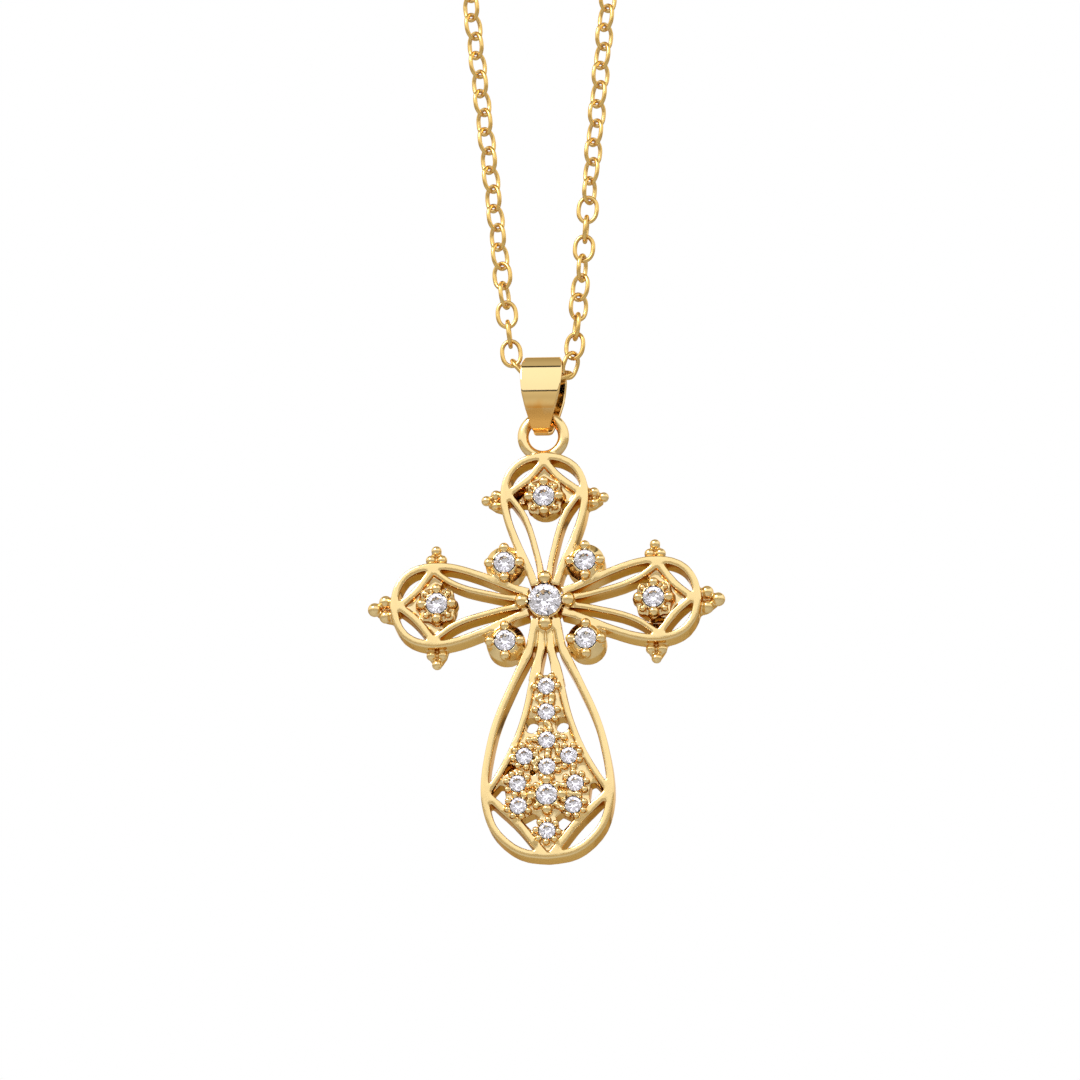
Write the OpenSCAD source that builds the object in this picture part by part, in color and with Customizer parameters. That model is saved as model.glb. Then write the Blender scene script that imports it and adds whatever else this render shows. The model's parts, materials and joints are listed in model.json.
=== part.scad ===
// Cross necklace: a cast openwork cross with round clear stones, a folded bail and a cable chain.
// Millimetres. +Z is up, -Y is the front. The origin is on the underside of the clasp, where the
// closed loop hangs. The cross hangs below it on its bail, which swings on the lowest chain links.

/* [Cross frame] */
// Thickness of the cast frame from front to back
frame_depth = 2.6; // [2.3:0.1:3]
// Width of the outer rims, seen from the front
rim_w = 0.7; // [0.6:0.02:0.76]
// Width of the inner bars, seen from the front
bar_w = 0.58; // [0.46:0.02:0.66]
// Radius of the ring at the top of the cross, to the middle of its wire
ring_r = 1.85; // [1.75:0.05:2]
// Thickness of the wire of that ring
ring_wire = 1.04; // [0.9:0.02:1.1]

/* [Stones] */
// Diameter of the centre stone
centre_d = 3.04; // [2.8:0.02:3.1]
// Diameter of the corner stones, the arm stones and the largest stone of the lower arm
medium_d = 1.9; // [1.7:0.02:1.96]
// Diameter of the small stones of the lower arm
small_d = 1.5; // [1.3:0.02:1.54]
// Play between a stone and the metal around it
stone_gap = 0.04; // [0.03:0.01:0.06]

/* [Bail] */
// Width of the bail at its top
bail_w = 3.84; // [3.6:0.02:3.9]
// Thickness of the folded sheet
bail_t = 0.35; // [0.3:0.05:0.4]

/* [Chain] */
// Thickness of the link wire
link_wire = 0.38; // [0.34:0.01:0.4]
// Distance from link to link
link_pitch = 1.87; // [1.85:0.01:1.9]
// Lean of each strand from the vertical, in degrees
strand_lean = 5.84; // [5.5:0.01:6.2]
// Number of links in the straight part of each strand
strand_links = 88; // [60:1:90]

/* [Clasp] */
// Radius of the barrel
clasp_r = 1.2; // [1:0.05:1.4]

/* [Hidden] */
$fn = 48;
metal = [0.89, 0.73, 0.42];
clear = [0.86, 0.88, 0.93];

// Heights on the cross, measured up from the middle of the centre stone
ring_z = 15.8;
pivot_z = ring_z + ring_r;
front = frame_depth / 2;

// Half of a link, from its middle to the middle of its end wire and of its side wire
link_half_l = (link_pitch + link_wire + 0.13) / 2;
link_half_w = 0.83;

// The lowest links, which pass through the bail or lie beside it: both ends of each, then its turn
// about its own length. The first three belong to the left half of the chain.
low_links = [[-1.799, 21.421, 0.578, 21.29, 105.6], [-1.297, 21.31, -2.825, 23.135, -16.3],
    [-2.812, 22.63, -3.054, 24.998, 90], [0.076, 21.34, 2.425, 21.726, 33.4],
    [2.033, 21.382, 2.847, 23.618, -37.9], [2.737, 23.139, 2.979, 25.507, 70]];
// Where each strand begins, and the turns of its first links
start_left = [3.028, 24.745];
start_right = [2.953, 25.254];
turns_left = [0, 90, 21, 117];
turns_right = [16, 129, 57, 163, 90, 180, 90, 150];

// The loop: the start of the arc at the back, its links, and the contact point with the clasp
lean_x = sin(strand_lean);
lean_z = cos(strand_lean);
arc_x = 3 + strand_links * link_pitch * lean_x;
arc_z = 25.1 + strand_links * link_pitch * lean_z;
arc_r = arc_x / lean_z;
arc_mid_z = arc_z + arc_r * lean_x;
arc_step = 2 * asin(link_pitch / 2 / arc_r);
arc_links = floor((78 + strand_lean) / arc_step);
clasp_turn = arc_links * arc_step - strand_lean;
clasp_x = arc_r * cos(clasp_turn);
clasp_l = 2 * clasp_x - 3.56;
// The end loops of the clasp share out the bend between its barrel and the strands
loop_lean = (90 - clasp_turn + arc_step / 2) / 2;
loop_sag = link_pitch * sin(loop_lean);
drop = clasp_r - loop_sag - arc_mid_z - arc_r * sin(clasp_turn);

// Short arms, one row for each station: distance from the middle of the cross, offset from the axis
arm_rim = [[1.5, 0.95], [3, 1.42], [5, 2.3], [7, 3.08], [8.5, 3.5], [10, 3.66], [11.5, 3.42],
    [12.68, 2.74], [13.46, 1.5], [13.74, 0]];
arm_bar = [[1.7, 0.3], [3.4, 0.5], [5, 0.87], [7, 1.4], [8.6, 2.12], [10.2, 3.3]];
arm_cap = [[10.2, 3.3], [11.1, 2.08], [12.05, 1.0], [13.3, 0]];
// Lower arm, the same columns
drop_rim = [[1.5, 0.95], [4, 1.4], [6, 2.3], [8, 3.2], [10, 4.1], [12, 4.8], [14, 5.25], [16, 5.58],
    [18, 5.64], [20, 5.24], [21.4, 4.48], [22.65, 3.14], [23.26, 1.76], [23.46, 0]];
drop_bar = [[1.7, 0.3], [4, 0.45], [6, 0.93], [8, 1.38], [10, 1.82], [12, 2.45], [14, 3.27],
    [16, 4.4], [17.7, 5.5]];
drop_cap = [[17.7, 5.5], [18.8, 4.35], [20.2, 2.9], [21.6, 1.75], [23.4, 0.35]];

// Where the rims and bars of the lower arm broaden round a narrow opening near the hub, one side
drop_bar_root = [[4.1, 0.1], [4.4, 0.04], [4.9, 0.17], [5.9, 0.38], [6.6, 0.46], [6.95, 0.9], [7.3, 1.6],
    [5.9, 1.3], [4.9, 0.92], [4.1, 0.72]];
drop_rim_root = [[4.1, 1.06], [4.9, 1.22], [5.9, 1.76], [7.3, 2.5], [6.2, 2.35], [4.1, 1.5]];

// Stones of the lower arm: across, down, diameter, number of beads around it, turn of the beads
drop_stones = [[0, 7.9, small_d, 6, 1], [0, 10.3, small_d, 7, 12], [0, 12.9, small_d, 7, 20],
    [-2.02, 14.35, small_d, 8, 10], [1.98, 14.4, small_d, 8, 22.5], [0, 15.35, small_d, 7, 35],
    [-2.65, 16.85, small_d, 8, 75], [2.52, 16.95, small_d, 8, 100], [-0.03, 18, medium_d, 4, 45],
    [-2.6, 18.9, small_d, 8, 62], [2.33, 18.95, small_d, 8, 105], [-0.05, 21.25, small_d, 8, 85]];
// Single beads between them, the first two columns only
loose_beads = [[-0.68, 8.98], [0.52, 9.02], [0.2, 11.55], [1.58, 12.7], [-1.62, 12.85]];
// Height of the girdle of a small and of a medium stone, and of the plate of the lower arm
small_z = front + 0.12;
medium_z = front + 0.4;
plate_z = front - 0.32;
corner = 3.64;
arm_stone_x = 9.78;

// Width of the bail from the front, one row for each height on the cross: height, part of its width
bail_rows = [[15.7, 0.16], [15.97, 0.26], [16.1, 0.375], [16.3, 0.455], [16.75, 0.52], [17.3, 0.59],
    [17.94, 0.7], [18.6, 0.79], [19.46, 0.9], [20.37, 0.955], [21.3, 1], [22.1, 0.99], [22.5, 0.95],
    [22.9, 0.89], [23.4, 0.8]];
// Side view of the bail: height, and depth of the middle of the sheet before and behind the fold
bail_side = [[23.1, 0], [22.98, 0.64], [22.62, 1.1], [22.15, 1.42], [21.3, 1.67], [20.5, 1.8],
    [19.65, 1.79], [18.8, 1.69], [18.1, 1.6], [17.45, 1.42], [16.85, 1.17], [16.4, 0.8], [16.15, 0]];
// The bail hangs turned a little to its left, and leans sideways about the height of the chain
bail_turn = -3.5;
bail_lean = 2.2;
bail_lean_z = 22;

function flipped(path) = [for (i = [len(path) - 1:-1:0]) [path[i][0], -path[i][1]]];
function blend(a, b, c, d, t) = 0.5 * ((2 * b) + (c - a) * t + (2 * a - 5 * b + 4 * c - d) * t * t
    + (3 * b - a - 3 * c + d) * t * t * t);
// A smooth run through the rows of a table, with one more point between each two rows
function smooth(rows) = [for (i = [0:len(rows) - 2]) for (t = [0, 0.5])
    blend(rows[max(i - 1, 0)], rows[i], rows[i + 1], rows[min(i + 2, len(rows) - 1)], t),
    rows[len(rows) - 1]];
function across(path, i) = let (d = path[min(i + 1, len(path) - 1)] - path[max(i - 1, 0)])
    [-d[1], d[0]] / norm(d);
// Outline of a strip of width w along a path
function strip(path, w) = concat([for (i = [0:len(path) - 1]) path[i] + across(path, i) * w / 2],
    [for (i = [len(path) - 1:-1:0]) path[i] - across(path, i) * w / 2]);
// A whole loop from one side of an arm round its end to the other side
function looped(rows) = let (half = smooth(rows), back = flipped(half))
    concat(half, [for (i = [1:len(back) - 1]) back[i]]);

module arm_flat(rim, bar, cap) {
    polygon(strip(looped(rim), rim_w));
    for (s = [0, 1]) mirror([0, s]) {
        polygon(strip(smooth(bar), bar_w));
        polygon(strip(smooth(cap), rim_w));
    }
}

// The pierced plate under the stones of the lower arm
module drop_plate() {
    difference() {
        polygon([[6.75, 1.05], [8, 1.35], [10, 1.8], [12, 2.4], [14, 3.25], [16, 4.35], [17.6, 5.3],
            [18.8, 4.3], [20.2, 2.85], [21.6, 1.7], [23.2, 0.4], [23.2, -0.4], [21.6, -1.7],
            [20.2, -2.85], [18.8, -4.3], [17.6, -5.3], [16, -4.35], [14, -3.25], [12, -2.4],
            [10, -1.8], [8, -1.35], [6.75, -1.05]]);
        for (s = [-1, 1]) {
            translate([11.43, s * 1.36]) scale([1.15, 1]) circle(r = 0.62, $fn = 12);
            polygon([[16.95, s * 3.9], [16.85, s * 4.25], [17.65, s * 4.9], [18.1, s * 4.75],
                [18.8, s * 3.92], [18.2, s * 3.72]]);
            polygon([[19.55, s * 1.25], [20.1, s * 2.35], [21.15, s * 1.4], [21, s * 0.98],
                [19.95, s * 0.75]]);
        }
    }
}

// Profile of the space that a round stone of diameter d and the play around it take up
module stone_space(d) {
    r = d / 2 + stone_gap;
    rotate_extrude() polygon([[0, -0.86 * d / 2 - stone_gap], [r, -0.09 * d / 2], [r, 0.09 * d / 2],
        [0.6 * d / 2 + stone_gap, 0.42 * d / 2 + stone_gap], [0, 0.42 * d / 2 + stone_gap]]);
}

// A round cut stone with an eight-sided table, a crown, a girdle and a pointed pavilion
module stone(d) {
    r = d / 2;
    ring = function (n, q, h, turn) [for (i = [0:n - 1]) [q * cos(i * 360 / n + turn),
        q * sin(i * 360 / n + turn), h]];
    points = concat(ring(8, 0.56 * r, 0.4 * r, 22.5), ring(8, 0.8 * r, 0.24 * r, 0),
        ring(16, r, 0.05 * r, 0), ring(16, r, -0.05 * r, 0), [[0, 0, -0.82 * r]]);
    color(clear) polyhedron(points, concat([[for (i = [7:-1:0]) i]],
        [for (i = [0:7]) [i, (i + 1) % 8, 8 + (i + 1) % 8]],
        [for (i = [0:7]) [i, 8 + (i + 1) % 8, 16 + (2 * i + 1) % 16]],
        [for (i = [0:7]) [i, 16 + (2 * i + 1) % 16, 8 + i]],
        [for (i = [0:7]) [8 + i, 16 + (2 * i + 1) % 16, 16 + 2 * i]],
        [for (i = [0:7]) [8 + (i + 1) % 8, 16 + (2 * i + 2) % 16, 16 + 2 * i + 1]],
        [for (i = [0:15]) [16 + i, 16 + (i + 1) % 16, 32 + (i + 1) % 16, 32 + i]],
        [for (i = [0:15]) [32 + i, 32 + (i + 1) % 16, 48]]));
}

// Places its children on the cross, which is drawn flat with its front up
module on_cross() {
    translate([0, 0.16, drop]) rotate([90, 0, 0]) children();
}

// Beads on short posts around a stone
module prongs(n, turn, reach, bead, top, foot) {
    for (i = [0:n - 1]) rotate(turn + i * 360 / n) translate([reach, 0, 0]) {
        translate([0, 0, top]) sphere(r = bead);
        translate([0, 0, foot]) cylinder(r = 0.86 * bead, h = top - foot);
    }
}

// Sloping collar of a medium stone
module collar(reach) {
    translate([0, 0, 0.2]) cylinder(r = reach, h = front - 0.35);
    translate([0, 0, front - 0.15]) cylinder(r1 = reach, r2 = 1.08, h = medium_z - front + 0.15);
}

// Two granules and a tip granule with the web behind them
module granules(at, half, bead, tip, tip_bead) {
    for (s = [-1, 1]) translate([at, s * half, 0.15]) sphere(r = bead);
    translate([tip, 0, 0.15]) sphere(r = tip_bead);
    translate([0, 0, -front + 0.2]) linear_extrude(front - 0.13) polygon([[at - 0.9, -half - 0.62],
        [at + 0.07, -half - 0.33], [tip - 0.1, -0.34], [tip - 0.1, 0.34], [at + 0.07, half + 0.33],
        [at - 0.9, half + 0.62]]);
}

// Lozenge plate and setting of a short arm, and the granules on its sides. A pit, where there is
// one, lies in the corner of the lozenge on the side given by its sign.
module short_arm(pit) {
    top = front - 0.55;
    difference() {
        translate([0, 0, -front + 0.06]) linear_extrude(top + front - 0.06)
            polygon([[9.3, -2.45], [10.2, -3.1], [13.1, 0], [10.2, 3.1], [9.3, 2.45]]);
        if (pit != 0) translate([0, 0, -front + 0.5]) linear_extrude(frame_depth)
            polygon([[9.25, pit * 1.7], [10.1, pit * 2.72], [10.95, pit * 1.7]]);
    }
    translate([arm_stone_x, 0, -front + 0.06]) cylinder(r = 1.7, h = frame_depth - 0.31);
    translate([arm_stone_x, 0, 0]) {
        collar(1.22);
        prongs(4, 0, 1.36, 0.47, medium_z + 0.02, 0.2);
        prongs(4, 45, 1.4, 0.3, medium_z - 0.3, 0.2);
        for (a = [0:45:315]) rotate(a) translate([1.42, 0, 0]) cylinder(r = 0.5, h = front - 0.13);
    }
    translate([9.9, 0, 0]) for (s = [-90, 90]) rotate(s) granules(4.45, 0.5, 0.48, 5.32, 0.48);
}

module metal_body() {
    translate([0, 0, -front]) linear_extrude(frame_depth) {
        for (a = [0, 90, 180]) rotate(a) arm_flat(arm_rim, arm_bar, arm_cap);
        rotate(-90) {
            arm_flat(drop_rim, drop_bar, drop_cap);
            for (s = [0, 1]) mirror([0, s]) {
                polygon(drop_bar_root);
                polygon(drop_rim_root);
            }
        }
    }
    short_arm(-1);
    rotate(90) short_arm(1);
    rotate(180) short_arm(0);
    for (a = [0, 180]) rotate(a) granules(14.53, 0.68, 0.61, 15.53, 0.64);
    // Sunk web between the roots of the lower arm's rims and bars
    translate([0, 0, -front + 0.07]) linear_extrude(frame_depth - 0.3)
        polygon([[-1, -2.2], [-1.35, -4.13], [1.35, -4.13], [1, -2.2]]);
    rotate(-90) difference() {
        translate([0, 0, -front + 0.05]) linear_extrude(plate_z + front - 0.05) drop_plate();
        translate([0, 0, -front + 0.5]) linear_extrude(frame_depth) {
            polygon([[14.9, -3.25], [15.3, -2.75], [15.95, -3.85], [15.7, -4.05]]);
            translate([15.75, -1.3]) circle(r = 0.26, $fn = 8);
        }
    }
    // Cup and prongs of the centre stone
    translate([0, 0, -front + 0.04]) cylinder(r = 1.6, h = frame_depth + 0.2);
    prongs(4, 0, 2.1, 0.66, front + 0.42, -front + 0.04);
    // Corner settings
    for (a = [45:90:315]) rotate(a) translate([corner * sqrt(2), 0, 0]) rotate(-a) {
        translate([0, 0, -front + 0.03]) cylinder(r = 1.76, h = frame_depth - 0.5);
        translate([0, 0, front - 0.47]) cylinder(r1 = 1.76, r2 = 1.08, h = medium_z - front + 0.47);
        prongs(4, 0, 1.37, 0.48, medium_z, 0.2);
    }
    // Beads and collars of the lower arm
    for (s = drop_stones) translate([s[0], -s[1], 0]) {
        if (s[2] == medium_d) {
            collar(1.3);
            prongs(4, 0, 1.36, 0.47, medium_z + 0.02, 0.2);
            prongs(s[3], s[4], 1.36, 0.31, small_z, 0.2);
        } else {
            translate([0, 0, 0.2]) cylinder(r = 0.86, h = small_z - 0.25);
            prongs(s[3], s[4], 1.02, 0.31, small_z, 0.2);
        }
    }
    for (b = loose_beads) translate([b[0], -b[1], 0]) prongs(1, 0, 0, 0.31, small_z - 0.03, 0.2);
    // Ring for the bail
    translate([-0.1, ring_z, 0.16]) rotate_extrude() translate([ring_r, 0]) circle(d = ring_wire);
}

module all_stone_places() {
    translate([0, 0, front + 0.5]) rotate(11.25) children(0);
    for (a = [45:90:315]) rotate(a) translate([corner * sqrt(2), 0, medium_z]) children(1);
    for (a = [0:90:180]) rotate(a) translate([arm_stone_x, 0, medium_z]) children(1);
    for (s = drop_stones) translate([s[0], -s[1], s[2] == medium_d ? medium_z : small_z])
        if (s[2] == medium_d) children(1);
        else children(2);
}

module cross_frame() {
    color(metal) on_cross() difference() {
        metal_body();
        all_stone_places() {
            stone_space(centre_d);
            stone_space(medium_d);
            stone_space(small_d);
        }
    }
}

module centre_stone() {
    on_cross() translate([0, 0, front + 0.5]) rotate(11.25) stone(centre_d);
}

module corner_stone(i) {
    on_cross() rotate(45 + 90 * i) translate([corner * sqrt(2), 0, medium_z]) stone(medium_d);
}

module arm_stone(a) {
    on_cross() rotate(a) translate([arm_stone_x, 0, medium_z]) stone(medium_d);
}

module drop_stone(i) {
    s = drop_stones[i];
    on_cross() translate([s[0], -s[1], s[2] == medium_d ? medium_z : small_z]) stone(s[2]);
}

// Outline of the whole bail from the side, moved outwards from the middle of the sheet
function bail_outline(out) = let (path = looped(bail_side), n = len(path) - 1)
    [for (i = [0:n - 1]) let (d = path[(i + 1) % n] - path[(i + n - 1) % n],
        p = path[i] + [d[1], -d[0]] / norm(d) * out) [-p[1], p[0]]];

module bail() {
    color(metal) translate([0, 0, drop + bail_lean_z]) rotate([0, bail_lean, bail_turn])
        translate([0, 0, -bail_lean_z]) intersection() {
        rotate([90, 0, 90]) linear_extrude(bail_w + 1, center = true) difference() {
            polygon(bail_outline(bail_t / 2));
            polygon(bail_outline(-bail_t / 2));
        }
        rotate([90, 0, 0]) linear_extrude(8, center = true) polygon(concat(
            [for (r = bail_rows) [r[1] * bail_w / 2, r[0]]],
            [for (i = [len(bail_rows) - 1:-1:0]) [-bail_rows[i][1] * bail_w / 2, bail_rows[i][0]]]));
    }
}

// One link, flat, along X, with a six-sided wire
module link() {
    bend = link_half_l - link_half_w;
    for (s = [0, 1]) mirror([s, 0, 0]) translate([bend, 0, 0]) rotate(-90)
        rotate_extrude(angle = 180, $fn = 24) translate([link_half_w, 0]) circle(d = link_wire, $fn = 6);
    for (s = [-1, 1]) translate([0, s * link_half_w, 0]) rotate([90, 0, 90])
        linear_extrude(2 * bend, center = true) circle(d = link_wire, $fn = 6);
}

// Contact points of one strand, from its start beside the bail to the clasp
function contact(i, start) = i <= strand_links
    ? start + ([arc_x, arc_z] - start) * i / strand_links
    : let (a = (i - strand_links) * arc_step - strand_lean)
        [arc_r * cos(a), arc_mid_z + arc_r * sin(a)];
// Turn of a link about its own length: the strand settles to links that stand at right angles to
// each other and halfway between flat and upright
function roll(i, turns) = i < len(turns) ? turns[i] : 45 + 90 * (i % 2);

// A link midway between two points of the plane of the loop
module placed_link(a, b, turn) {
    translate([(a[0] + b[0]) / 2, 0, (a[1] + b[1]) / 2])
        rotate([0, -atan2(b[1] - a[1], b[0] - a[0]), 0]) rotate([turn, 0, 0]) link();
}

module strand(start, turns) {
    for (i = [0:strand_links + arc_links - 1])
        placed_link(contact(i, start), contact(i + 1, start), roll(i, turns));
}

module low_run(first) {
    for (i = [first:first + 2])
        placed_link([low_links[i][0], low_links[i][1]], [low_links[i][2], low_links[i][3]],
            low_links[i][4]);
}

module chain_right() {
    color(metal) translate([0, 0, drop]) {
        strand(start_right, turns_right);
        low_run(3);
    }
}

module chain_left() {
    color(metal) translate([0, 0, drop]) {
        mirror([1, 0, 0]) strand(start_left, turns_left);
        low_run(0);
    }
}

module clasp() {
    last = strand_links + arc_links;
    color(metal) translate([0, 0, clasp_r]) {
        rotate([0, 90, 0]) rotate_extrude() polygon([[0, -clasp_l / 2], [0.7 * clasp_r, -clasp_l / 2],
            [clasp_r, -clasp_l / 2 + 0.6], [clasp_r, clasp_l / 2 - 0.6], [0.7 * clasp_r, clasp_l / 2],
            [0, clasp_l / 2]]);
        for (s = [0, 1]) mirror([s, 0, 0]) placed_link([clasp_x, -loop_sag],
            [clasp_x - link_pitch * cos(loop_lean), 0], roll(last, turns_left));
    }
}

cross_frame();
centre_stone();
corner_stone(0);  // corner_stone_1
corner_stone(1);  // corner_stone_2
corner_stone(2);  // corner_stone_3
corner_stone(3);  // corner_stone_4
arm_stone(180);  // arm_stone_left
arm_stone(90);  // arm_stone_top
arm_stone(0);  // arm_stone_right
drop_stone(0);  // drop_stone_01
drop_stone(1);  // drop_stone_02
drop_stone(2);  // drop_stone_03
drop_stone(3);  // drop_stone_04
drop_stone(4);  // drop_stone_05
drop_stone(5);  // drop_stone_06
drop_stone(6);  // drop_stone_07
drop_stone(7);  // drop_stone_08
drop_stone(8);  // drop_stone_09
drop_stone(9);  // drop_stone_10
drop_stone(10);  // drop_stone_11
drop_stone(11);  // drop_stone_12
bail();
chain_left();
chain_right();
clasp();
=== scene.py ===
import json
import math

import bpy
import numpy as np
from mathutils import Matrix, Vector


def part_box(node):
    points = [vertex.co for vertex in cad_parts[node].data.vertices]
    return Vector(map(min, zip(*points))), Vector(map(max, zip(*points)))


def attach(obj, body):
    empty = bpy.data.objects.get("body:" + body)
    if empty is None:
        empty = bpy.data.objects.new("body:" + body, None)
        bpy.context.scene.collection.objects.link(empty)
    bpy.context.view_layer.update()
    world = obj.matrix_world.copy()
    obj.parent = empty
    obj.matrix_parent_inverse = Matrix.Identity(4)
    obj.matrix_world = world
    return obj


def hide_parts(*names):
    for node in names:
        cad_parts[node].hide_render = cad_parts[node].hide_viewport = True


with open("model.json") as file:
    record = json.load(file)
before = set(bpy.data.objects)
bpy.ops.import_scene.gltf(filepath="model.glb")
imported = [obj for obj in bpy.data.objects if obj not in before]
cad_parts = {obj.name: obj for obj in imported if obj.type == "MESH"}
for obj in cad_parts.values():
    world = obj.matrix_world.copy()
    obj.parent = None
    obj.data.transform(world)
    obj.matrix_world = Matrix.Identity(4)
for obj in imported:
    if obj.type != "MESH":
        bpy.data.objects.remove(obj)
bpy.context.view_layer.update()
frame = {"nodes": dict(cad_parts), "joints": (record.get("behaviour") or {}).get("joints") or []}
NODES = frame["nodes"]
JOINT = {j["name"]: Vector(j["pos_m"]) for j in frame["joints"]}
MM = 0.001

# As in part.scad, in mm: heights are measured on the cross above the middle of its centre stone
PIVOT_Z = 17.65
DROP = JOINT["cross_swing"].z / MM - PIVOT_Z
FRONT, CROSS_Y = 1.3, 0.16
CORNER = 3.64
LINK_L, LINK_W, PITCH = 1.19, 0.83, 1.87
CLASP_X, CLASP_LOOPS, LOOP_LEAN = 5.081, 1.78, 8.77
BAIL_W, BAIL_T, BAIL_TURN, BAIL_LEAN, BAIL_LEAN_Z = 3.84, 0.35, -3.5, 2.2, 22
# Height and share of the width, and height and depth of the folded sheet's middle
BAIL_ROWS = [(15.7, 0.16), (15.97, 0.26), (16.1, 0.375), (16.3, 0.455), (16.75, 0.52), (17.3, 0.59),
             (17.94, 0.7), (18.6, 0.79), (19.46, 0.9), (20.37, 0.955), (21.3, 1), (22.1, 0.99), (22.5, 0.95),
             (22.9, 0.89), (23.4, 0.8)]
BAIL_SIDE = [(23.1, 0), (22.98, 0.64), (22.62, 1.1), (22.15, 1.42), (21.3, 1.67), (20.5, 1.8), (19.65, 1.79),
             (18.8, 1.69), (18.1, 1.6), (17.45, 1.42), (16.85, 1.17), (16.4, 0.8), (16.15, 0)]

# The rest is for the looks. Cast metal: the mesh, and the places that stay sharp, which are the settings
# and the granules of an arm, past these distances from the middle at its end and beside it
VOXEL, CAST_TRIANGLES = 0.065, 195000
LEVELS, LEAST_SOFT = 4, 0.25
SETTING_EDGE, SETTING_PER_D, FADE = 0.85, 0.62, 0.4
END_FROM, END_HALF = 14.25, 1.6
SIDE_FROM, SIDE_AT, SIDE_HALF = 4.02, 9.9, 1.4
# Where the painted shade on the cast metal is lifted and painted light added, and how much
BOSS_R, BOSS_FADE, BOSS_LIFT = 2.6, 0.7, 1.2
PLATE_HALF, PLATE_FADE, PLATE_TOP, PLATE_LIFT = 3.6, 0.4, -5.5, 0.55
# Links of round wire, with a solder joint on the side past JOINT_SIDE
WIRE, WIRE_SIDES, ROUNDING = 0.39, 14, 0.6
JOINT_SIDE, JOINT_L, JOINT_SWELL = 0.6, 0.16, 0.05
BAIL_EDGE, BAIL_STEPS = 0.12, 5
BAIL_COLUMNS = (0.97, 0.7, 0.35, 0, -0.35, -0.7, -0.97)
BARREL_SIDES, BARREL_END, BARREL_FACE, BARREL_STEP = 64, 0.6, 0.62, 0.7
TIP_DEPTH = 0.82
rng = np.random.default_rng(8)


# Mesh helpers

def add_object(name, mesh, body, slot, *replaced):
    obj = bpy.data.objects.new(name, mesh)
    bpy.context.scene.collection.objects.link(obj)
    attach(obj, body)
    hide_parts(*replaced)


def new_mesh(name, points, faces, materials, smooth=True, indices=None):
    """A mesh from points in mm."""
    mesh = bpy.data.meshes.new(name)
    mesh.from_pydata((np.asarray(points, float) * MM).tolist(), [], [tuple(f) for f in faces])
    for material in materials:
        mesh.materials.append(material)
    if indices is not None:
        mesh.polygons.foreach_set("material_index", indices)
    if smooth:
        mesh.shade_smooth()
    mesh.validate()
    return mesh


def coordinates(mesh):
    co = np.zeros(len(mesh.vertices) * 3)
    mesh.vertices.foreach_get("co", co)
    return co.reshape(-1, 3)


def tube(sections, closed):
    """Faces that join rings of points of one length, in order."""
    n, m = len(sections), len(sections[0])
    faces = []
    for i in range(n if closed else n - 1):
        a, b = i * m, (i + 1) % n * m
        faces += [(a + j, a + (j + 1) % m, b + (j + 1) % m, b + j) for j in range(m)]
    return faces


# Node helpers: a value is a number, a colour of three parts, or an output of another node

def feed(tree, target, value):
    if isinstance(value, bpy.types.NodeSocket):
        tree.links.new(value, target)
    else:
        target.default_value = (*value, 1) if isinstance(value, tuple) else value


def calculated(tree, operation, *values, clamp=False):
    node = tree.nodes.new("ShaderNodeMath")
    node.operation = operation
    node.use_clamp = clamp
    for target, value in zip(node.inputs, values):
        feed(tree, target, value)
    return node.outputs["Value"]


def ranged(tree, value, start, end, low=0.0, high=1.0, kind="LINEAR"):
    node = tree.nodes.new("ShaderNodeMapRange")
    node.interpolation_type = kind
    sockets = {"Value": value, "From Min": start, "From Max": end, "To Min": low, "To Max": high}
    for socket, part in sockets.items():
        feed(tree, node.inputs[socket], part)
    return node.outputs["Result"]


def mixed(tree, factor, a, b):
    node = tree.nodes.new("ShaderNodeMix")
    node.data_type = "RGBA"
    for socket, part in {"Factor": factor, "A": a, "B": b}.items():
        feed(tree, node.inputs[socket], part)
    return node.outputs["Result"]


def noise(tree, vector, scale, detail=2.0):
    node = tree.nodes.new("ShaderNodeTexNoise")
    node.inputs["Scale"].default_value = scale
    node.inputs["Detail"].default_value = detail
    tree.links.new(vector, node.inputs["Vector"])
    return node.outputs["Fac"]


def axes(tree, vector):
    node = tree.nodes.new("ShaderNodeSeparateXYZ")
    tree.links.new(vector, node.inputs["Vector"])
    return node.outputs


def ramp(tree, value, stops, kind="LINEAR"):
    """A colour ramp of (place, colour) stops."""
    node = tree.nodes.new("ShaderNodeValToRGB")
    tree.links.new(value, node.inputs["Fac"])
    elements = node.color_ramp.elements
    node.color_ramp.interpolation = kind
    elements.remove(elements[1])
    for i, (at, colour) in enumerate(stops):
        element = elements[0] if i == 0 else elements.new(at)
        element.position = at
        element.color = (*colour, 1)
    return node.outputs["Color"]


# Materials

def node_material(name):
    material = bpy.data.materials.new(name)
    material.use_nodes = True
    return material, material.node_tree, material.node_tree.nodes["Principled BSDF"]


def painted_low_reflection(tree, place, base):
    """A painted reflection: a deeper orange colour low on the piece, with an uneven upper edge."""
    edge = calculated(tree, "MULTIPLY_ADD", noise(tree, place["Generated"], 3.2), 0.22,
                      axes(tree, place["Generated"])["Z"])
    return mixed(tree, ranged(tree, edge, 0.5, 0.34, kind="SMOOTHSTEP"), base, (0.92, 0.5, 0.13))


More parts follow.
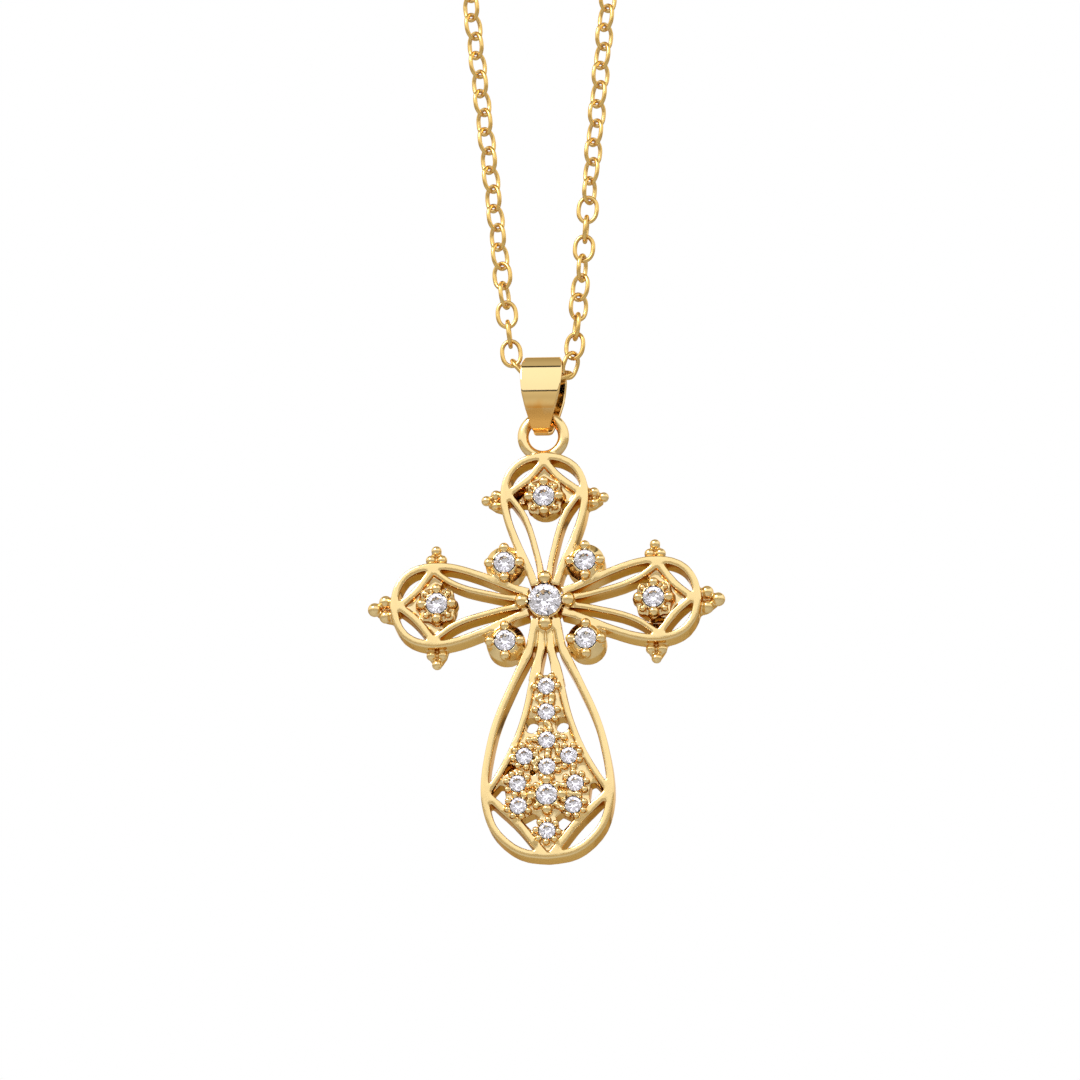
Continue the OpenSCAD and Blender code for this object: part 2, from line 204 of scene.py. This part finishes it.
def painted_recess_shading(tree, place, base, recess_shade, shade_lifted):
    """Painted shade and painted light in the recesses: browner walls, and lighter faces, which light that
    bounces there turns golden.
    """
    hollow = tree.nodes.new("ShaderNodeAmbientOcclusion")
    hollow.samples = 8
    hollow.inputs["Distance"].default_value = 3.0 * MM
    openness = hollow.outputs["AO"]
    # Painted shade: walls, which look up, down or sideways, are painted darker than the faces in front
    facing = calculated(tree, "ABSOLUTE", axes(tree, place["Normal"])["Y"])
    depth = ranged(tree, openness, 0.25, 0.78, recess_shade, 0.0)
    painted_shade = calculated(tree, "MULTIPLY", depth, ranged(tree, facing, 0.3, 0.9, 1.0, 0.1))
    painted_light = ranged(tree, openness, 0.3, 0.75, 0.7, 0.0)
    painted_light_share = calculated(tree, "MULTIPLY", painted_light, ranged(tree, facing, 0.0, 1.0, 0.4, 1.0))
    if shade_lifted:
        # Painted light: the settings are painted brighter than the openings between the bars, with less
        # painted shade and more of the pale gold colour
        shade_lift_node = tree.nodes.new("ShaderNodeAttribute")
        shade_lift_node.attribute_name = "shade_lifted"
        amount = shade_lift_node.outputs["Fac"]
        kept = calculated(tree, "MULTIPLY_ADD", amount, -1.0, 1.0, clamp=True)
        painted_shade = calculated(tree, "MULTIPLY", painted_shade, kept)
        painted_light_share = calculated(tree, "MAXIMUM", painted_light_share, calculated(tree, "MULTIPLY", painted_light, amount))
    # Painted shade: browner where the recesses are deep; painted light: the pale gold colour on faces there
    return mixed(tree, painted_shade, mixed(tree, painted_light_share, base, (0.97, 0.85, 0.6)), (0.5, 0.23, 0.05))


def gold(name, colour, darker, rough, bump, scale, recess_shade, low_reflection=False, shade_lifted=False):
    """Gold coloured metal: its tint and gloss drift slowly, with fine casting or drawing marks, and
    with painted shade, browner, in its recesses, and lighter painted faces there."""
    material, tree, shader = node_material(name)
    shader.inputs["Metallic"].default_value = 1.0
    shader.inputs["Specular Tint"].default_value = (0.94, 0.67, 0.33, 1)
    place = tree.nodes.new("ShaderNodeTexCoord").outputs
    drift = noise(tree, place["Object"], scale, 4.0)
    base = mixed(tree, drift, colour, darker)
    if low_reflection:
        base = painted_low_reflection(tree, place, base)
    base = painted_recess_shading(tree, place, base, recess_shade, shade_lifted)
    tree.links.new(base, shader.inputs["Base Color"])
    tree.links.new(ranged(tree, drift, 0.3, 0.7, *rough), shader.inputs["Roughness"])
    relief = tree.nodes.new("ShaderNodeBump")
    relief.inputs["Strength"].default_value = bump
    relief.inputs["Distance"].default_value = 0.03 * MM
    tree.links.new(noise(tree, place["Object"], scale * 6, 3.0), relief.inputs["Height"])
    tree.links.new(relief.outputs["Normal"], shader.inputs["Normal"])
    return material


def stone(name, colour, cloudy):
    """A stone surface with faint clouds in its tint and fine wipe marks in its gloss."""
    material, tree, shader = node_material(name)
    place = tree.nodes.new("ShaderNodeTexCoord").outputs["Object"]
    tree.links.new(mixed(tree, noise(tree, place, 900), colour, cloudy), shader.inputs["Base Color"])
    marks = noise(tree, place, 2600, 4.0)
    tree.links.new(ranged(tree, marks, 0.35, 0.75, 0.0, 0.05), shader.inputs["Roughness"])
    return material, shader


# After the scale comes the strength of the painted shade in the recesses
SHINY = (0.95, 0.74, 0.39), (0.93, 0.71, 0.35), (0.03, 0.06), 0.04, 260
CAST = gold("cast_gold", (0.93, 0.72, 0.37), (0.9, 0.68, 0.32), (0.12, 0.2), 0.03, 420, 0.9, shade_lifted=True)
POLISHED = gold("polished_gold", *SHINY, 0.6)
# The bail has a painted reflection low on it, and little painted shade in its recesses
BAIL_GOLD = gold("bail_gold", *SHINY, 0.05, low_reflection=True)
WIRE_GOLD = gold("wire_gold", (0.84, 0.58, 0.21), (0.81, 0.54, 0.17), (0.2, 0.28), 0.03, 500, 0.6)

CLEAR, shader = stone("clear_stone", (1.0, 1.0, 1.0), (0.95, 0.955, 1.0))
shader.inputs["IOR"].default_value = 1.75
shader.inputs["Transmission Weight"].default_value = 1.0
FOIL, shader = stone("stone_back", (0.99, 0.98, 1.0), (0.94, 0.94, 0.98))
shader.inputs["Metallic"].default_value = 1.0


# Cast frame: the CAD solid, fused and softened as a casting is

def stone_rounds():
    """Middle and diameter of each stone, in mm, from the frame."""
    rounds = []
    for name in NODES:
        if "stone" in name:
            low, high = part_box(name)
            rounds.append(((low.x + high.x) / 2 / MM, (low.z + high.z) / 2 / MM, (high.x - low.x) / MM))
    return rounds


def softness(co):
    """Rims and bars are softened most; the beads, the settings and the granules keep their shape."""
    x, z = co[:, 0], co[:, 2] - DROP
    soft = np.ones(len(co))
    for stone_x, stone_z, d in stone_rounds():
        near = np.hypot(x - stone_x, co[:, 2] - stone_z)
        reach = SETTING_EDGE + d * SETTING_PER_D
        soft = np.minimum(soft, np.clip((near - reach) / FADE, 0.0, 1))
    for along, across in ((x, z), (-x, z), (z, x)):
        end = (along > END_FROM) & (np.abs(across) < END_HALF)
        beside = (np.abs(along - SIDE_AT) < SIDE_HALF) & (np.abs(across) > SIDE_FROM)
        soft[end | beside] = 0.0
    return soft


def shade_lift_at(co):
    """How far the painted shade is lifted, and painted light added, on the settings between the arms and on
    the set plate of the lower arm.
    """
    x, z = np.abs(co[:, 0]), co[:, 2] - DROP
    boss = np.clip((BOSS_R - np.hypot(x - CORNER, np.abs(z) - CORNER)) / BOSS_FADE, 0, 1)
    plate = np.clip((PLATE_HALF - x) / PLATE_FADE, 0, 1) * np.clip(PLATE_TOP - z, 0, 1)
    return np.maximum(BOSS_LIFT * boss, PLATE_LIFT * plate)


def evaluated(obj):
    return bpy.data.meshes.new_from_object(obj.evaluated_get(bpy.context.evaluated_depsgraph_get()))


def smoothed(obj, name, iterations):
    modifier = obj.modifiers.new(name, "SMOOTH")
    modifier.factor = 0.5
    modifier.iterations = iterations
    modifier.vertex_group = "soft"


def soft_casting():
    mesh = NODES["cross_frame"].data.copy()
    mesh.transform(Matrix.Scale(1 / MM, 4))
    draft = bpy.data.objects.new("draft", mesh)
    bpy.context.scene.collection.objects.link(draft)
    grid = draft.modifiers.new("grid", "REMESH")
    grid.mode = "VOXEL"
    grid.voxel_size = VOXEL
    fused = evaluated(draft)
    draft.modifiers.clear()
    draft.data = fused
    weights = draft.vertex_groups.new(name="soft")
    levels = np.round(softness(coordinates(fused)) * LEVELS)
    for level in range(LEVELS + 1):
        chosen = np.nonzero(levels == level)[0]
        weights.add(chosen.tolist(), LEAST_SOFT + (1 - LEAST_SOFT) * level / LEVELS, "REPLACE")
    smoothed(draft, "smooth", 34)
    less = draft.modifiers.new("less", "DECIMATE")
    less.ratio = min(1.0, CAST_TRIANGLES / sum(len(p.vertices) - 2 for p in fused.polygons))
    smoothed(draft, "even", 3)
    shape = evaluated(draft)
    bpy.data.objects.remove(draft)
    # The painted shade is lifted, and painted light added, where this is high
    shade_lifted = shade_lift_at(coordinates(shape)).astype(np.float32)
    shape.attributes.new("shade_lifted", "FLOAT", "POINT").data.foreach_set("value", shade_lifted)
    shape.transform(Matrix.Scale(MM, 4))
    shape.materials.clear()
    shape.materials.append(CAST)
    shape.shade_smooth()
    shape.name = "cast_cross"
    add_object("cast_cross", shape, "cross", "cast_metal", "cross_frame")


# Stones: table, stars, bezels, upper facets, girdle, lower facets and pavilion mains

def brilliant(name, body):
    low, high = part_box(name)
    middle = [(low[i] + high[i]) / 2 / MM for i in range(3)]
    r = (high.x - low.x) / 2 / MM
    # The pavilion tip lies at the back, as in the CAD stone; depths are measured from the girdle
    girdle_y = high.y / MM - TIP_DEPTH * r

    def ring(n, q, depth, turn):
        angles = [math.tau * (i + turn) / n for i in range(n)]
        return [(q * r * math.cos(a), depth * r, q * r * math.sin(a)) for a in angles]
    points = ring(8, 0.56, -0.4, 0.5) + ring(8, 0.8, -0.24, 0) + ring(16, 1, -0.06, 0)
    points += ring(16, 1, -0.02, 0) + ring(8, 0.26, 0.6, 0) + [(0, TIP_DEPTH * r, 0)]
    star, upper, lower, main, tip = 8, 16, 32, 48, 56
    faces = [tuple(range(8))]
    for i in range(8):
        j = (i + 1) % 8
        left, mid, right = (upper + (2 * i + k) % 16 for k in range(3))
        faces += [(i, star + j, j), (star + i, left, mid), (star + j, mid, right),
                  (i, star + i, mid), (i, mid, star + j)]
    crown = len(faces)
    faces += [(upper + i, lower + i, lower + (i + 1) % 16, upper + (i + 1) % 16) for i in range(16)]
    for i in range(8):
        j = (i + 1) % 8
        left, mid, right = (lower + (2 * i + k) % 16 for k in range(3))
        faces += [(left, main + i, mid), (main + i, main + j, mid), (main + j, right, mid),
                  (main + i, tip, main + j)]
    turn = math.radians(rng.uniform(0, 45))
    c, s = math.cos(turn), math.sin(turn)
    points = [(middle[0] + x * c - z * s, girdle_y + y, middle[2] + x * s + z * c) for x, y, z in points]
    indices = [0] * crown + [1] * (len(faces) - crown)
    mesh = new_mesh("cut_" + name, points, faces, (CLEAR, FOIL), smooth=False, indices=indices)
    add_object("cut_" + name, mesh, body, "stone", name)


# Chain: a round wire link in the place of each solid link

def pieces_of(node):
    """Points of each loose solid of a node, in mm."""
    mesh = NODES[node].data
    unique, owner = np.unique(np.round(coordinates(mesh) / MM, 4), axis=0, return_inverse=True)
    owner = owner.reshape(-1)
    ends = np.zeros(len(mesh.edges) * 2, int)
    mesh.edges.foreach_get("vertices", ends)
    ends = owner[ends.reshape(-1, 2)]
    # Each point takes the least label along its edges, until no label changes
    label = np.arange(len(unique))
    while True:
        least = np.minimum(label[ends[:, 0]], label[ends[:, 1]])
        before = label.copy()
        np.minimum.at(label, ends[:, 0], least)
        np.minimum.at(label, ends[:, 1], least)
        label = label[label]
        if (label == before).all():
            break
    return [unique[label == n] for n in np.unique(label)]


def link_shape(joint_at):
    """Rings of points along one link: a round wire with a slight solder joint in one side."""
    bend = LINK_L - LINK_W
    path = []
    for side in (1, -1):
        for a in np.linspace(-90, 90, 15)[:-1]:
            t = math.radians(a)
            path.append((side * (bend + LINK_W * math.cos(t)), side * LINK_W * math.sin(t)))
        for f in np.linspace(0, 1, 6)[:-1]:
            path.append((side * (bend - 2 * bend * f), side * LINK_W))
    # Between a straight sided link and an oval one
    path = np.array(path)
    angle = np.arctan2(path[:, 1] / LINK_W, path[:, 0] / LINK_L)
    oval = np.stack([LINK_L * np.cos(angle), LINK_W * np.sin(angle)], 1)
    path = (1 - ROUNDING) * path + ROUNDING * oval
    around = [math.tau * j / WIRE_SIDES for j in range(WIRE_SIDES)]
    rings = []
    for i, p in enumerate(path):
        d = path[(i + 1) % len(path)] - path[i - 1]
        out = np.array([d[1], -d[0]]) / np.hypot(*d)
        joint = math.exp(-((p[0] - joint_at) / JOINT_L) ** 2) if p[1] > JOINT_SIDE else 0
        r = WIRE / 2 * (1 + JOINT_SWELL * joint)
        rings.append([(*(p + out * r * math.cos(t)), -r * math.sin(t)) for t in around])
    return np.array(rings)


def chain(name, node):
    points, faces = [], []
    for solid in pieces_of(node):
        centre = solid.mean(0)
        along, wide = np.linalg.svd(solid - centre, full_matrices=False)[2][:2]
        shape = link_shape(rng.uniform(-0.3, 0.3))
        if rng.random() < 0.5:
            wide = -wide
        placed = centre + shape @ np.array([along, wide, np.cross(along, wide)])
        start = len(points)
        faces += [tuple(start + v for v in f) for f in tube(shape, True)]
        points += placed.reshape(-1, 3).tolist()
    add_object(name, new_mesh(name, points, faces, (WIRE_GOLD,)), "chain", "chain_metal", node)


# Clasp: a barrel with rounded ends and a round wire loop at each end

def clasp():
    low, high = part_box("clasp")
    middle = (low.z + high.z) / 2 / MM
    radius = (high.z - low.z) / 2 / MM
    half = CLASP_X - CLASP_LOOPS
    profile = [(-half, BARREL_FACE * radius)]
    for a in np.linspace(0, 90, 9):
        t = math.radians(a)
        profile.append((-half + BARREL_END * (1 - math.cos(t)),
                        radius * (BARREL_STEP + (1 - BARREL_STEP) * math.sin(t))))
    profile += [(-half * f, radius) for f in (0.7, 0.35, 0.0)]
    profile += [(-x, r) for x, r in profile[-2::-1]]
    around = np.linspace(0, math.tau, BARREL_SIDES, False)
    rings = np.array([[(x, r * math.cos(t), middle + r * math.sin(t)) for t in around] for x, r in profile])
    points = rings.reshape(-1, 3).tolist()
    ends = [range(BARREL_SIDES)[::-1], range(len(points) - BARREL_SIDES, len(points))]
    faces = tube(rings, False) + ends
    # The loops lean with the chain and are turned halfway about their length
    lean, turned = math.radians(LOOP_LEAN), math.sqrt(0.5)
    along = np.array([-math.cos(lean), 0, math.sin(lean)])
    wide = -turned * np.array([math.sin(lean), 1, math.cos(lean)])
    centre = np.array([CLASP_X - PITCH / 2 * math.cos(lean), 0, middle - PITCH / 2 * math.sin(lean)])
    loop = centre + link_shape(0.0) @ np.array([along, wide, np.cross(along, wide)])
    for side in (1, -1):
        start = len(points)
        faces += [tuple(start + v for v in f[::side]) for f in tube(loop, True)]
        points += (loop.reshape(-1, 3) * (side, 1, 1)).tolist()
    mesh = new_mesh("barrel_clasp", points, faces, (POLISHED,))
    add_object("barrel_clasp", mesh, "chain", "polished_metal", "clasp")


# Bail: a folded sheet with rounded edges

def blend(p, t):
    """A point of the smooth curve through four points, between the second and the third."""
    a, b, c, d = p
    square, cube = 2 * a - 5 * b + 4 * c - d, 3 * b - a - 3 * c + d
    return 0.5 * (2 * b + (c - a) * t + square * t * t + cube * t ** 3)


def bail():
    side = np.array(BAIL_SIDE)
    loop = np.concatenate([side, (side * (1, -1))[-2:0:-1]])
    n = len(loop)
    path = np.array([blend([loop[(i + k) % n] for k in (-1, 0, 1, 2)], f / BAIL_STEPS)
                     for i in range(n) for f in range(BAIL_STEPS)])
    heights, parts = zip(*BAIL_ROWS)
    thick = BAIL_T / 2
    rings = []
    for i, (z, y) in enumerate(path):
        d = path[(i + 1) % len(path)] - path[i - 1]
        up, out = d[1] / np.hypot(*d), -d[0] / np.hypot(*d)
        half = np.interp(z + up * thick, heights, parts) * BAIL_W / 2

        def point(w, g):
            """A point of this cross-section, across the sheet and through it."""
            return w, -(y + g * out), z + g * up
        ring = []
        for q, h, start in ((1, 1, 0), (-1, 1, 90), (-1, -1, 180), (1, -1, 270)):
            for a in np.linspace(0, 90, 5):
                t = math.radians(start + a)
                ring.append(point(q * (half - BAIL_EDGE) + BAIL_EDGE * math.cos(t),
                                  h * (thick - BAIL_EDGE) + BAIL_EDGE * math.sin(t)))
            if start in (0, 180):
                ring += [point(q * (half - BAIL_EDGE) * f, h * thick) for f in BAIL_COLUMNS]
        rings.append(ring)
    rings = np.array(rings)
    lean, turn = math.radians(BAIL_LEAN), math.radians(BAIL_TURN)
    turned = Matrix.Rotation(turn, 3, "Z") @ Matrix.Rotation(lean, 3, "Y")
    upright = rings.reshape(-1, 3) - (0, 0, BAIL_LEAN_Z)
    points = upright @ np.array(turned).T + (0, 0, BAIL_LEAN_Z + DROP)
    mesh = new_mesh("folded_bail", points, tube(rings, True), (BAIL_GOLD,))
    add_object("folded_bail", mesh, "bail", "polished_metal", "bail")


soft_casting()
for name in NODES:
    if "stone" in name:
        brilliant(name, "cross")
chain("chain_links_left", "chain_left")
chain("chain_links_right", "chain_right")
bail()
clasp()


# Camera at the photo's angle: a little below and to the right of the front

PHOTO = 1080
STONE_AT = 545.2, 601.3
PHOTO_WIDE, LENS, SENSOR = 97.2 * MM, 250.0, 36.0


def vector(azimuth, elevation):
    a, e = math.radians(azimuth), math.radians(elevation)
    return Vector((math.sin(a) * math.cos(e), -math.cos(a) * math.cos(e), math.sin(e)))


def make_camera(azimuth, elevation, roll):
    """A camera that sees the centre stone where the photo, PHOTO pixels wide, has it."""
    back = vector(azimuth, elevation)
    right = Vector((0, 0, 1)).cross(back).normalized()
    up = back.cross(right)
    c, s = math.cos(math.radians(roll)), math.sin(math.radians(roll))
    right, up = right * c - up * s, right * s + up * c
    anchor = Vector((0, (CROSS_Y - FRONT) * MM, DROP * MM))
    pixel = PHOTO_WIDE / PHOTO
    target = anchor - right * (STONE_AT[0] - PHOTO / 2) * pixel + up * (STONE_AT[1] - PHOTO / 2) * pixel
    camera = bpy.data.objects.new("camera", bpy.data.cameras.new("camera"))
    bpy.context.scene.collection.objects.link(camera)
    camera.data.lens = LENS
    camera.data.sensor_width = SENSOR
    camera.data.clip_start = 0.01
    camera.data.clip_end = 20.0
    where = Matrix((right, up, back)).transposed().to_4x4()
    where.translation = target + back * (PHOTO_WIDE / SENSOR * LENS)
    camera.matrix_world = where
    bpy.context.scene.camera = camera


# Floor and light

WHITE_LIGHT, WARM_LIGHT = (1, 0.99, 0.97), (1, 0.87, 0.64)
# Place from straight down to straight up, and brightness; each dark gap is a thin line in the metal
BANDS = [(0.0, 0.45), (0.48, 0.52), (0.56, 0.75), (0.566, 0.03), (0.578, 0.03), (0.585, 1.12), (0.883, 1.2),
         (0.892, 0.02), (0.906, 0.02), (0.915, 0.6), (1.0, 0.55)]
BRIGHT = 0.9
PANELS = [(0, (0.16, 0.15, 0.15)), (0.2, (0.62, 0.6, 0.6)), (0.36, (1.0, 0.98, 0.99)),
          (0.48, (1.6, 1.568, 1.584))]


def make_floor(half, z):
    mesh = bpy.data.meshes.new("floor")
    corners = [(-half, -half, z), (half, -half, z), (half, half, z), (-half, half, z)]
    mesh.from_pydata(corners, [], [(0, 1, 2, 3)])
    material, tree, shader = node_material("floor")
    shader.inputs["Base Color"].default_value = (0.62, 0.62, 0.63, 1)
    shader.inputs["Roughness"].default_value = 0.7
    mesh.materials.append(material)
    floor = bpy.data.objects.new("floor", mesh)
    bpy.context.scene.collection.objects.link(floor)


def background(tree, colour, strength=1.0):
    node = tree.nodes.new("ShaderNodeBackground")
    feed(tree, node.inputs["Color"], colour)
    feed(tree, node.inputs["Strength"], strength)
    return node.outputs["Background"]


def either(tree, factor, first, second):
    node = tree.nodes.new("ShaderNodeMixShader")
    for target, value in zip(node.inputs, (factor, first, second)):
        tree.links.new(value, target)
    return node.outputs["Shader"]


def make_world():
    """A pale studio: seen directly it is white, and the metal reflects a broad soft light that has
    dark gaps at its edges."""
    world = bpy.data.worlds.new("studio")
    bpy.context.scene.world = world
    world.use_nodes = True
    tree = world.node_tree
    tree.nodes.clear()
    place = tree.nodes.new("ShaderNodeTexCoord").outputs["Generated"]
    where = axes(tree, place)
    stops = []
    for at, value in BANDS:
        light = WHITE_LIGHT if value > BRIGHT else WARM_LIGHT
        stops.append((at, tuple(value * part for part in light)))
    bands = ramp(tree, ranged(tree, where["Z"], -1.0, 1.0), stops)
    # Low in front the studio is a warm brown
    front = calculated(tree, "MULTIPLY", ranged(tree, where["Y"], 0.0, -0.4),
                       ranged(tree, where["Z"], 0.05, -0.25))
    behind = ranged(tree, where["Y"], -0.1, 0.4, 1.0, 0.8)
    studio = background(tree, mixed(tree, front, bands, (0.62, 0.43, 0.2)), behind)
    # What the stones gather through their facets: white panels with dark gaps between them
    panels = tree.nodes.new("ShaderNodeTexVoronoi")
    panels.inputs["Scale"].default_value = 9.0
    tree.links.new(place, panels.inputs["Vector"])
    grey = tree.nodes.new("ShaderNodeRGBToBW")
    tree.links.new(panels.outputs["Color"], grey.inputs["Color"])
    gathered = background(tree, ramp(tree, grey.outputs["Val"], PANELS, "CONSTANT"))
    path = tree.nodes.new("ShaderNodeLightPath").outputs
    seen = either(tree, path["Is Transmission Ray"], studio, gathered)
    shown = either(tree, path["Is Camera Ray"], seen, background(tree, (1, 1, 1)))
    out = tree.nodes.new("ShaderNodeOutputWorld")
    tree.links.new(shown, out.inputs["Surface"])


def make_light(name, azimuth, elevation, distance, size, power):
    data = bpy.data.lights.new(name, "AREA")
    data.shape = "SQUARE"
    data.size = size
    data.energy = power
    light = bpy.data.objects.new(name, data)
    bpy.context.scene.collection.objects.link(light)
    back = vector(azimuth, elevation)
    light.location = Vector((0, 0, DROP * MM)) + back * distance
    light.rotation_euler = back.to_track_quat("Z", "Y").to_euler()


make_camera(azimuth=4.5, elevation=-16, roll=0.6)
make_floor(half=4.0, z=-0.62)
make_world()
make_light("key", azimuth=-35, elevation=40, distance=0.9, size=0.3, power=4)
bpy.context.scene.view_settings.view_transform = "Standard"
